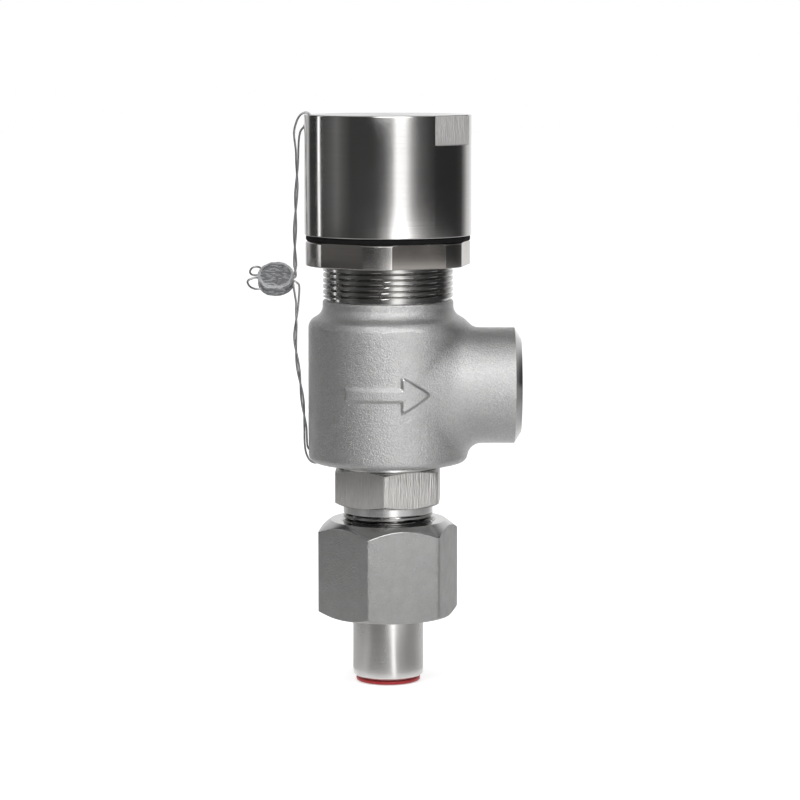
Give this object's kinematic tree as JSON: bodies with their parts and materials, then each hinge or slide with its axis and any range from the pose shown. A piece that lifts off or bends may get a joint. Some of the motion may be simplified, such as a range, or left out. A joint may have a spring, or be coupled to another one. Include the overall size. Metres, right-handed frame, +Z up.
{
  "type": "safety valve",
  "caption": "Upright spring-loaded safety valve with a union inlet, a threaded side outlet, a cast body, an adjusting cap jammed by a lock ring, and a wire seal.",
  "frame": {"origin": "centre of the weld end of the inlet stub, on the valve axis", "axes": "+Z up along the valve axis from inlet to cap, +X along the outlet, -Y the front"},
  "size_m": [0.0824, 0.05, 0.1726],
  "materials": {
    "cast_steel": "bead-blasted stainless casting",
    "cap_steel": "fine turned and polished stainless",
    "ring_steel": "turned stainless with milled flats",
    "nut_steel": "satin tumbled stainless",
    "hex_steel": "milled stainless hexagon",
    "turned_steel": "turned stainless",
    "washer_steel": "plain stainless washer",
    "spring_steel": "drawn spring wire",
    "wire_steel": "twisted sealing wire",
    "lead": "pressed lead",
    "ptfe": "plain PTFE",
    "black_rubber": "matt black",
    "red_plastic": "dark red polyethylene"
  },
  "bodies": {
    "inlet_stub": {"weld_stub": "turned_steel", "union_gasket": "ptfe"},
    "end_plug": {"end_plug": "red_plastic"},
    "union_nut": {"union_nut": "nut_steel"},
    "valve": {"inlet_nozzle": "hex_steel", "nozzle_washer": "washer_steel", "valve_body": "cast_steel", "stem_guide": "turned_steel", "guide_clip": "spring_steel", "spring": "spring_steel", "seal_wire_upper": "wire_steel", "seal_wire_lower": "wire_steel", "lead_seal": "lead"},
    "disc": {"soft_seat": "ptfe", "disc_holder": "turned_steel", "seat_washer": "washer_steel", "seat_screw": "turned_steel", "stem": "turned_steel", "lower_spring_plate": "turned_steel"},
    "spring_seat": {"upper_spring_plate": "turned_steel", "thrust_ball": "turned_steel"},
    "cap": {"cap": "cap_steel"},
    "sealing_ring": {"sealing_ring": "black_rubber"},
    "lock_ring": {"lock_ring": "ring_steel"}
  },
  "joints": [
    {"name": "plug_pull", "type": "slide", "parent": "inlet_stub", "child": "end_plug", "axis": [0, 0, -1], "range_m": [0, 0.02]},
    {"name": "nut_turn", "type": "hinge", "parent": "inlet_stub", "child": "union_nut", "pos_m": [0, 0, 0.034], "axis": [0, 0, -1], "range_deg": [0, 3610]},
    {"name": "valve_rise", "type": "slide", "parent": "inlet_stub", "child": "valve", "axis": [0, 0, 1], "range_m": [0, 0.015]},
    {"name": "disc_lift", "type": "slide", "parent": "valve", "child": "disc", "axis": [0, 0, 1], "range_m": [0, 0.003], "stiffness_N_per_m": 3000, "springref_m": -0.004, "deforming": ["spring"]},
    {"name": "cap_rise", "type": "slide", "parent": "valve", "child": "spring_seat", "axis": [0, 0, 1], "range_m": [0, 0.0068], "deforming": ["seal_wire_upper"]},
    {"name": "cap_turn", "type": "hinge", "parent": "spring_seat", "child": "cap", "pos_m": [0, 0, 0.152], "axis": [0, 0, 1], "range_deg": [0, 1450]},
    {"name": "ring_drop", "type": "slide", "parent": "valve", "child": "sealing_ring", "axis": [0, 0, -1], "range_m": [0, 0.0102]},
    {"name": "ring_turn", "type": "hinge", "parent": "sealing_ring", "child": "lock_ring", "pos_m": [0, 0, 0.129], "axis": [0, 0, -1], "range_deg": [0, 2170]}
  ],
  "couplings": [
    {"joint": "nut_turn", "follows": "valve_rise", "rad_per_m": 4188.8},
    {"joint": "cap_turn", "follows": "cap_rise", "rad_per_m": 3696},
    {"joint": "ring_turn", "follows": "ring_drop", "rad_per_m": 3696}
  ]
}
